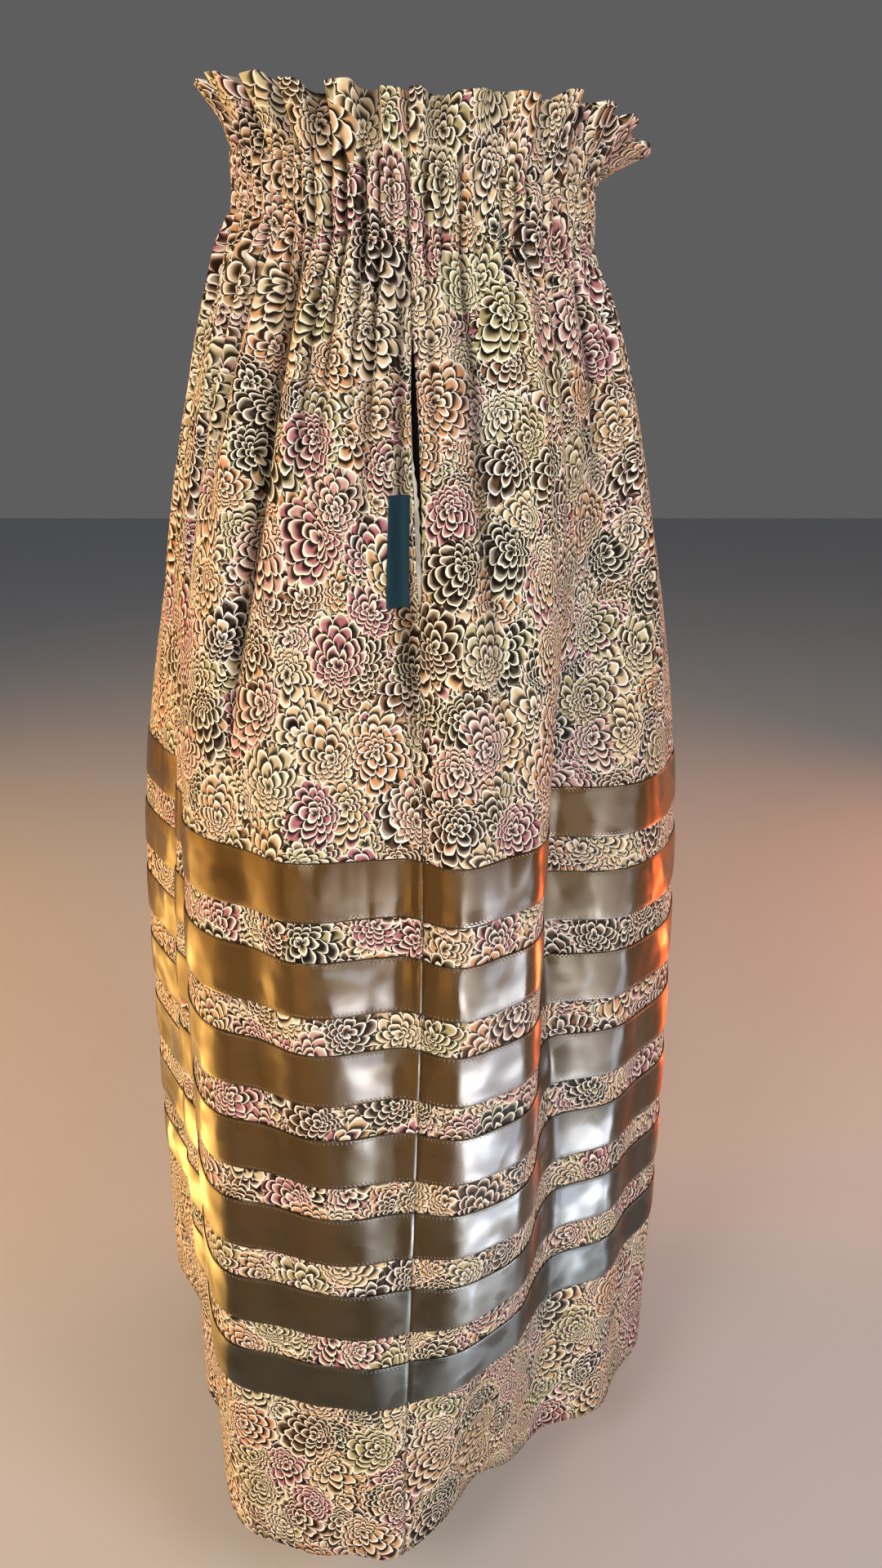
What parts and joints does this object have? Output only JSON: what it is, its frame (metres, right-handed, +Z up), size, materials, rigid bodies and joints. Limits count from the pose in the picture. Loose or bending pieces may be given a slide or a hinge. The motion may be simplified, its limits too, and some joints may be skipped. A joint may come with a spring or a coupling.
{
  "type": "gathered ribbon skirt, filled out as if worn, with nothing inside",
  "caption": "Long gathered cotton skirt with a ruffled heading over an elastic casing, satin ribbons round the lower half, a side pocket slit and a bare label.",
  "frame": {"origin": "middle of the elastic waist, at half the casing's height, on the axis of the waist", "axes": "+Z up along the skirt's length; -Y is the wearer's left side, with the side seam, pocket slit and label; -X is the wearer's front"},
  "size_m": [0.4701, 0.5304, 1.0364],
  "materials": {
    "printed_cotton": "woven cotton with a print of layered petals in cream, brown, mauve and black",
    "satin_1": "glossy bronze satin ribbon",
    "satin_2": "glossy bronze satin ribbon",
    "satin_3": "glossy bronze satin ribbon",
    "satin_4": "glossy bronze satin ribbon",
    "satin_5": "glossy bronze satin ribbon, darker",
    "satin_6": "glossy bronze satin ribbon, darker",
    "satin_7": "glossy bronze satin ribbon, darker",
    "plain_cotton": "plain pale cotton",
    "label_weave": "woven label, matt"
  },
  "bodies": {
    "root": {"front_panel": "printed_cotton", "back_panel": "printed_cotton", "front_ribbon_1": "satin_1", "front_ribbon_2": "satin_2", "front_ribbon_3": "satin_3", "front_ribbon_4": "satin_4", "front_ribbon_5": "satin_5", "front_ribbon_6": "satin_6", "front_ribbon_7": "satin_7", "back_ribbon_1": "satin_1", "back_ribbon_2": "satin_2", "back_ribbon_3": "satin_3", "back_ribbon_4": "satin_4", "back_ribbon_5": "satin_5", "back_ribbon_6": "satin_6", "back_ribbon_7": "satin_7", "pocket_facing": "plain_cotton", "side_label": "label_weave"}
  },
  "joints": []
}
